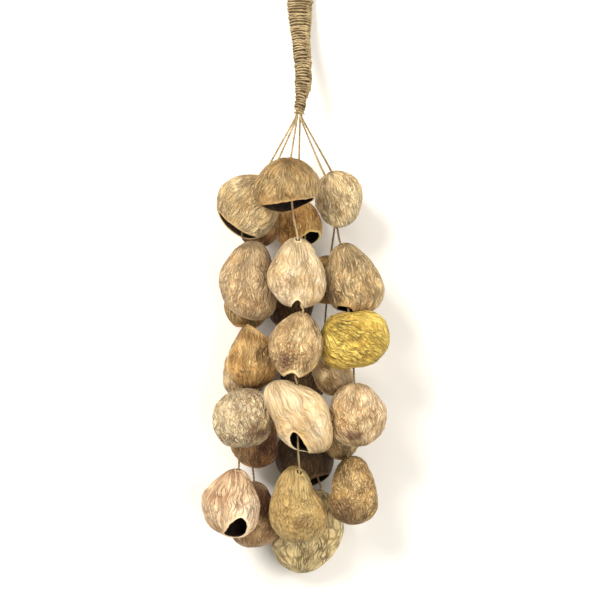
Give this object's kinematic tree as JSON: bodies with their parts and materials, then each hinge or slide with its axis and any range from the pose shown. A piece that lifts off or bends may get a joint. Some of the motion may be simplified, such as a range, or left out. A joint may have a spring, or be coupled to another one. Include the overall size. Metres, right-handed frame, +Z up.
{
  "type": "pangi seed shell rattle",
  "caption": "Bunch of hollow wrinkled seed shells with cut mouths, knotted on strings below a wound twine handle; the shells knock and clatter when it is shaken.",
  "frame": {"origin": "on the table, under the middle of the whole thing as it lies", "axes": "+Z up from the table; +Y along the strings, from the shells towards the carrying loop; +X to the right when looked down on with the loop away from the viewer"},
  "size_m": [0.1404, 0.5254, 0.1025],
  "materials": {
    "seed_shell": "dry matt seed shell, wrinkled into raised nets, dark brown inside",
    "plant_twine": "dry two-ply plant fibre twine"
  },
  "bodies": {
    "root": {"cord_lower": "plant_twine", "cord_middle": "plant_twine", "cord_upper": "plant_twine", "shell_centre_1": "seed_shell", "shell_centre_2": "seed_shell", "shell_centre_3": "seed_shell", "shell_centre_4": "seed_shell", "shell_centre_5": "seed_shell", "shell_centre_back_1": "seed_shell", "shell_centre_back_2": "seed_shell", "shell_centre_back_3": "seed_shell", "shell_centre_back_4": "seed_shell", "shell_centre_back_5": "seed_shell", "shell_left_1": "seed_shell", "shell_left_2": "seed_shell", "shell_left_3": "seed_shell", "shell_left_4": "seed_shell", "shell_left_5": "seed_shell", "shell_left_back_1": "seed_shell", "shell_left_back_2": "seed_shell", "shell_left_back_3": "seed_shell", "shell_left_back_4": "seed_shell", "shell_left_back_5": "seed_shell", "shell_right_1": "seed_shell", "shell_right_2": "seed_shell", "shell_right_3": "seed_shell", "shell_right_4": "seed_shell", "shell_right_5": "seed_shell", "shell_right_back_1": "seed_shell", "shell_right_back_2": "seed_shell", "shell_right_back_3": "seed_shell", "shell_right_back_4": "seed_shell", "winding": "plant_twine"}
  },
  "joints": []
}
